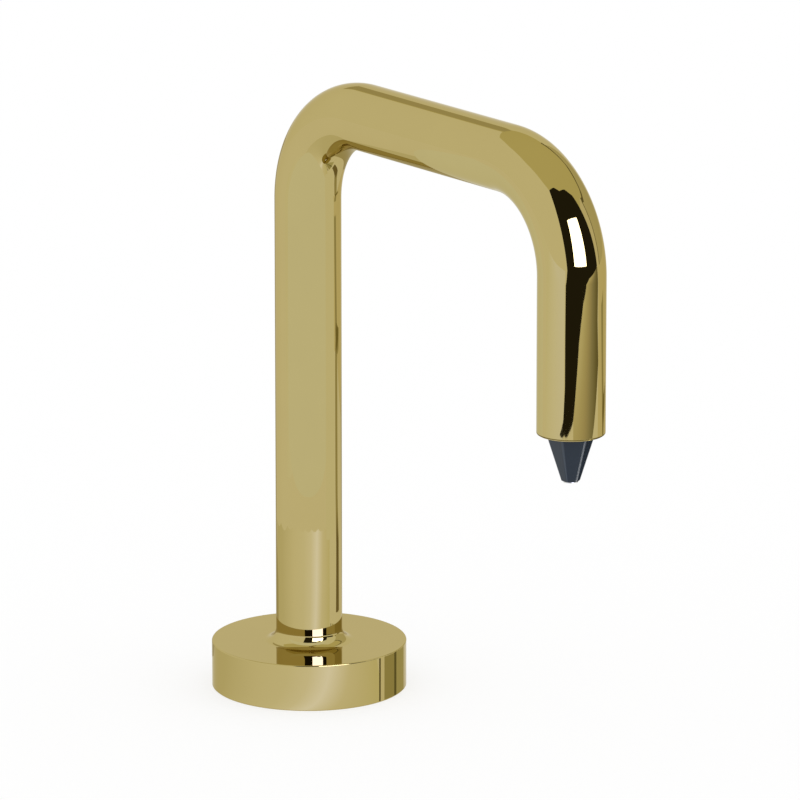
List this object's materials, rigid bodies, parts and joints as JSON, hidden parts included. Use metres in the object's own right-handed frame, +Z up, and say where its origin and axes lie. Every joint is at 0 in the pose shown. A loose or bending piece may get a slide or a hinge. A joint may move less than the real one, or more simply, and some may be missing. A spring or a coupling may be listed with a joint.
{
  "type": "touch-free bathroom faucet",
  "caption": "Touch-free bathroom faucet: a bent tube spout on a round deck flange, with a tapered six-sided nozzle that holds a hand sensor and an anti-drip valve.",
  "frame": {"origin": "centre of the flange's flat underside, on the column's axis, in the mouth of the shank socket", "axes": "+Z up along the column; the spout reaches towards -Y; X runs across the spout"},
  "size_m": [0.0648, 0.1831, 0.2097],
  "materials": {
    "polished_gold": "mirror-polished gold plating on brass",
    "smoked_plastic": "dark slate tinted plastic, satin gloss",
    "stainless": "bright drawn stainless steel",
    "plain_brass": "turned brass, unplated",
    "black_rubber": "matt black rubber",
    "hose_plastic": "milky flexible tubing",
    "lead_jacket": "black soft cable jacket",
    "black_plastic": "black moulded plastic",
    "white_plastic": "white moulded acetal",
    "circuit_board": "green solder resist",
    "clear_diode": "clear bluish epoxy",
    "dark_diode": "near-black infrared-pass epoxy"
  },
  "bodies": {
    "faucet": {"spout_tube": "polished_gold", "base_flange": "polished_gold", "base_gasket": "black_rubber", "hose_grommet": "black_rubber", "inlet_connector": "plain_brass", "inlet_seal": "black_rubber", "inlet_ferrule": "stainless", "supply_hose": "hose_plastic", "lead_connector": "black_plastic", "sensor_lead": "lead_jacket", "outlet_collar": "plain_brass", "collar_seal": "black_rubber", "nozzle_cone": "smoked_plastic", "sensor_board": "circuit_board", "infrared_emitter": "clear_diode", "infrared_receiver": "dark_diode", "sensor_housing": "black_plastic", "outlet_pipe": "stainless", "pipe_seal": "black_rubber", "valve_body": "white_plastic", "valve_cap": "white_plastic", "cap_seal": "black_rubber", "valve_spring": "stainless", "hose_ferrule": "stainless"},
    "poppet": {"valve_poppet": "white_plastic", "poppet_seal": "black_rubber"}
  },
  "joints": [
    {"name": "valve_slide", "type": "slide", "parent": "faucet", "child": "poppet", "axis": [0, 0, -1], "range_m": [0, 0.0012], "stiffness_N_per_m": 120, "springref_m": -0.0008, "deforming": ["valve_spring"]}
  ]
}
